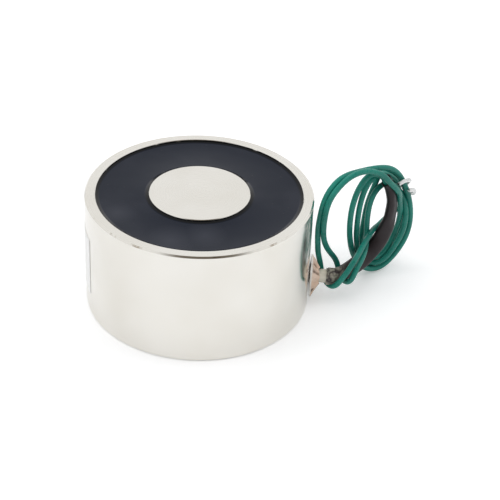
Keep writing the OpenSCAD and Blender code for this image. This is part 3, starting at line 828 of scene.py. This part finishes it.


# Black, glossy, a little blue, with slow waves, a few specks, painted highlights as paler clouds and three
# paler spots, and painted shade by the groove walls
def resinFinish(look):
    material, tree, shader = startFinish("pottingResin", Specular_IOR_Level=0.18)
    grain = placeGroup(tree, grainGroup, Scale=520.0)
    # painted highlights: paler clouds and three paler spots stand in for reflections on the resin
    paintedHighlightMask = ramp(tree, placeGroup(tree, grainGroup, Scale=800.0)["Cloud"], 0.0, 0.3, 0.5, 0.72)
    for centre, wide in look["paintedHighlights"]:
        paintedHighlightMask = mathNode(tree, "MAXIMUM", paintedHighlightMask, spot(tree, centre, 0.0, wide))
    speck = placeGroup(tree, speckGroup, Scale=1500.0, Level=0.77)
    body = mixColour(tree, paintedHighlightMask, look["body"], look["paintedReflection"])
    body = mixColour(tree, speck["Mask"], body, look["speck"])
    # the resin creeps up both walls of the groove, and painted shade makes it blackest there
    radius = placeGroup(tree, turnGroup)["Radius"]
    creep = mathNode(tree, "MAXIMUM", ramp(tree, radius, 1.0, 0.0, *look["byPole"]),
                     ramp(tree, radius, 0.0, 1.0, *look["byRim"]))
    tree.links.new(mixColour(tree, ramp(tree, creep, 0.0, 1.0, 0.0, 0.5), body, look["paintedWallShade"]),
                   shader.inputs["Base Color"])
    tree.links.new(ramp(tree, grain["Cloud"], 0.08, 0.22), shader.inputs["Roughness"])
    height = mathNode(tree, "ADD", grain["Cloud"], mathNode(tree, "MULTIPLY", creep, look["climb"]))
    addBump(tree, shader, height, 0.3, 0.0005)
    return material


# Most finishes here: two colours in slow clouds, roughness and bump from the fine grain
def grainedFinish(name, first, second, rough, scale, bump=(0.08, 0.00005), **sockets):
    material, tree, shader = startFinish(name, **sockets)
    grain = placeGroup(tree, grainGroup, Scale=scale)
    colour = mixColour(tree, ramp(tree, grain["Cloud"], 0.0, 1.0), first, second)
    tree.links.new(colour, shader.inputs["Base Color"])
    tree.links.new(ramp(tree, grain["Grain"], *rough), shader.inputs["Roughness"])
    addBump(tree, shader, grain["Grain"], *bump)
    return material


# Shrunk tube: brown-black, with a grey painted reflection between the cracks of its crinkled start
blackSleeve = {
    "black": (0.0125, 0.0080, 0.0095),
    "worn": (0.026, 0.0180, 0.0205),
    # grey painted reflection
    "paintedSheen": (0.33, 0.31, 0.25),
}


def blackTubeFinish(look):
    material, tree, shader = startFinish("blackSleeve", Specular_IOR_Level=0.35)
    grain = placeGroup(tree, grainGroup, Scale=1100.0)
    plain = mixColour(tree, ramp(tree, grain["Cloud"], 0.0, 1.0), look["black"], look["worn"])
    broken = ramp(tree, grain["Grain"], 0.30, 1.0, 0.34, 0.60)
    # grey painted reflection between the cracks, broken up by the grain
    paintedSheenMask = mathNode(tree, "MULTIPLY", readValue(tree, "paintedSheen"), broken)
    tree.links.new(mixColour(tree, paintedSheenMask, plain, look["paintedSheen"]), shader.inputs["Base Color"])
    dull = ramp(tree, grain["Grain"], 0.34, 0.54)
    tree.links.new(mathNode(tree, "SUBTRACT", dull, mathNode(tree, "MULTIPLY", paintedSheenMask, 0.30)),
                   shader.inputs["Roughness"])
    addBump(tree, shader, grain["Grain"], 0.12, 0.00006)
    return material


# Tape film: peach and shiny, with brown painted shade on its back, down the creases and in a slit, and a
# near-white painted highlight on its cut edge
peachFilm = {
    "peach": (0.80, 0.57, 0.42),
    "pale": (0.86, 0.75, 0.66),
    # brown painted shade
    "paintedShadeBrown": (0.075, 0.032, 0.015),
    # near-white painted highlight for the cut edge
    "edge": (0.92, 0.89, 0.84),
}


def filmFinish(look):
    material, tree, shader = startFinish("peachFilm")
    grain = placeGroup(tree, grainGroup, Scale=1400.0)
    sheet = mixColour(tree, ramp(tree, grain["Cloud"], 0.0, 1.0, 0.4, 0.7), look["peach"], look["pale"])
    # brown painted shade where the film's light level is low
    sheet = mixColour(tree, ramp(tree, readValue(tree, "paintedLightLevel"), 1.0, 0.0, 0.02, 0.42), sheet, look["paintedShadeBrown"])
    # painted highlight on the cut edge
    sheet = mixColour(tree, readValue(tree, "cutEdgeHighlight"), sheet, look["edge"])
    tree.links.new(sheet, shader.inputs["Base Color"])
    tree.links.new(ramp(tree, grain["Grain"], 0.16, 0.36), shader.inputs["Roughness"])
    addBump(tree, shader, grain["Grain"], 0.08, 0.00005)
    return material


# The pieces take one material, in place of what they had
def dress(material, *pieces):
    for piece in pieces:
        piece.data.materials.clear()
        piece.data.materials.append(material)


# Finishes in two colours: both colours, the range of roughness, the scale of the grain, then what else
# differs
plainFinishes = {
    "leadInsulation": [(0.016, 0.260, 0.200), (0.010, 0.180, 0.140), (0.24, 0.36), 1300.0,
                       {"bump": (0.06, 0.00004), "Specular_IOR_Level": 0.32}],
    "paleSleeve": [(0.82, 0.79, 0.69), (0.76, 0.70, 0.57), (0.30, 0.46), 1200.0, {"bump": (0.05, 0.00004)}],
    "tinnedWire": [(0.80, 0.81, 0.80), (0.62, 0.63, 0.63), (0.2, 0.4), 2200.0,
                   {"bump": (0.1, 0.00004), "Metallic": 1.0}],
    "blankLabel": [(0.93, 0.93, 0.92), (0.89, 0.89, 0.875), (0.45, 0.62), 2600.0, {"bump": (0.08, 0.00003)}],
    "bobbinNylon": [(0.62, 0.60, 0.52), (0.54, 0.52, 0.45), (0.35, 0.5), 800.0, {}],
    "windingCopper": [(0.62, 0.27, 0.13), (0.48, 0.19, 0.09), (0.22, 0.4), 1500.0, {"Metallic": 1.0}],
    "windingTape": [(0.62, 0.43, 0.16), (0.5, 0.33, 0.11), (0.2, 0.4), 900.0, {}],
    "softSolder": [(0.66, 0.67, 0.68), (0.5, 0.51, 0.52), (0.25, 0.45), 1800.0, {"Metallic": 1.0}],
    "spliceSleeve": [(0.05, 0.05, 0.055), (0.03, 0.03, 0.032), (0.35, 0.55), 1200.0, {}],
}
plainPieces = {
    "leadInsulation": [leadStart, leadFinish, nodes["lead_start"], nodes["lead_finish"]],
    "paleSleeve": [paleTubePiece],
    "tinnedWire": [tinnedStart, tinnedFinish],
    "blankLabel": [nodes["label"]],
    "bobbinNylon": [nodes["bobbin"]],
    "windingCopper": [nodes["winding"], nodes["tail_start"], nodes["tail_finish"]],
    "windingTape": [nodes["winding_film"]],
    "softSolder": [nodes["joint_start"], nodes["joint_finish"]],
    "spliceSleeve": [nodes["splice_start"], nodes["splice_finish"]],
}

dress(nickelFinish(nickelPlate), nodes["pot_body"], threadPiece)
dress(resinFinish(pottingResin), nodes["potting"])
dress(blackTubeFinish(blackSleeve), sleevePiece)
dress(filmFinish(peachFilm), filmPiece)
for finishName, (first, second, rough, scale, others) in plainFinishes.items():
    dress(grainedFinish(finishName, first, second, rough, scale, **others), *plainPieces[finishName])
print("finishes given")

# Studio: a white floor that keeps the shadow, a white surround with one dark opening above the camera, and
# soft lamps that aim at the object
studio = {
    "aim": (0.01, 0.0, 0.012),
    "floorHeight": -0.12,  # in millimetres, as is the next
    "floorHalf": 3000.0,
    "floorColour": (0.93, 0.935, 0.945),
    "floorLift": 0.26,
    "floorMirrored": 0.16,
    "ambient": 0.40,
    "mirrored": 0.93,
    "opening": {"towards": (0.12, -0.56, 0.82), "wide": 34.0, "soft": 14.0, "colour": (0.17, 0.145, 0.115)},
    "key": {"at": (-0.22, -0.06, 0.85), "size": 1.1, "power": 4.2},
    "fill": {"at": (0.62, 0.10, 0.55), "size": 0.6, "power": 1.2},
    "back": {"at": (0.05, 0.70, 0.60), "size": 0.8, "power": 0.5},
    "low": {"at": (-0.70, -0.22, 0.11), "size": 0.2, "power": 0.9},
}


# Floor lit as any surface, with a lift seen only by the camera and in reflections
def makeFloor(setup):
    steps = np.linspace(-setup["floorHalf"], setup["floorHalf"], 9)
    x, y = np.meshgrid(steps, steps)
    floor = gridSurface("floor", np.stack([x, y, np.full_like(x, setup["floorHeight"])], -1), wrap=False)
    material, tree, shader = startFinish("floorWhite", Roughness=0.9, Specular_IOR_Level=0.0,
                                         Base_Color=setup["floorColour"] + (1.0,),
                                         Emission_Color=(1.0, 1.0, 1.0, 1.0))
    path = tree.nodes.new("ShaderNodeLightPath").outputs
    mirror = mathNode(tree, "MAXIMUM", path["Is Glossy Ray"], path["Is Transmission Ray"])
    toCamera = mathNode(tree, "MULTIPLY", path["Is Camera Ray"], setup["floorLift"])
    toMirror = mathNode(tree, "MULTIPLY", mirror, setup["floorMirrored"])
    tree.links.new(mathNode(tree, "ADD", toCamera, toMirror), shader.inputs["Emission Strength"])
    dress(material, floor)


# Surround: white to the camera, a little less in reflections, and dimmer as light. Only reflections show the
# opening: its edge is a ramp on the cosine of the angle from its middle.
def makeWorld(setup):
    world = bpy.data.worlds.new("surround")
    world.use_nodes = True
    tree = world.node_tree
    path = tree.nodes.new("ShaderNodeLightPath").outputs
    mirror = mathNode(tree, "MAXIMUM", path["Is Glossy Ray"], path["Is Transmission Ray"])
    opening = setup["opening"]
    dot = addNode(tree, "ShaderNodeVectorMath", operation="DOT_PRODUCT")
    tree.links.new(tree.nodes.new("ShaderNodeTexCoord").outputs["Generated"], dot.inputs[0])
    dot.inputs[1].default_value = unit(np.array(opening["towards"]))
    edge = np.cos(np.radians([opening["wide"], opening["wide"] - opening["soft"]]))
    inOpening = ramp(tree, dot.outputs["Value"], 0.0, 1.0, float(edge[0]), float(edge[1]))
    background = tree.nodes["Background"]
    dark = mathNode(tree, "MULTIPLY", mirror, inOpening)
    tree.links.new(mixColour(tree, dark, (1.0, 1.0, 1.0), opening["colour"]), background.inputs["Color"])
    toCamera = mathNode(tree, "MULTIPLY", path["Is Camera Ray"], 1.0 - setup["ambient"])
    toMirror = mathNode(tree, "MULTIPLY", mirror, setup["mirrored"] - setup["ambient"])
    strength = mathNode(tree, "ADD", mathNode(tree, "ADD", toCamera, toMirror), setup["ambient"])
    tree.links.new(strength, background.inputs["Strength"])
    scene.world = world


# A disk lamp turned to the aim, out of sight of the camera and of reflections
def makeLamp(name, setup, aim):
    data = bpy.data.lights.new(name, "AREA")
    data.shape, data.size, data.energy = "DISK", setup["size"], setup["power"]
    obj = bpy.data.objects.new(name, data)
    at = np.array(setup["at"])
    back = unit(at - np.array(aim))
    right = unit(np.cross([0.0, 0.0, 1.0], back))
    turn = np.eye(4)
    turn[:3, :3] = np.stack([right, np.cross(back, right), back], 1)
    turn[:3, 3] = at
    obj.matrix_world = Matrix(turn.tolist())
    obj.visible_camera = False
    obj.visible_glossy = False
    scene.collection.objects.link(obj)


makeFloor(studio)
makeWorld(studio)
for lampName in ("key", "fill", "back", "low"):
    makeLamp(lampName + "Lamp", studio[lampName], studio["aim"])
print("studio lit")
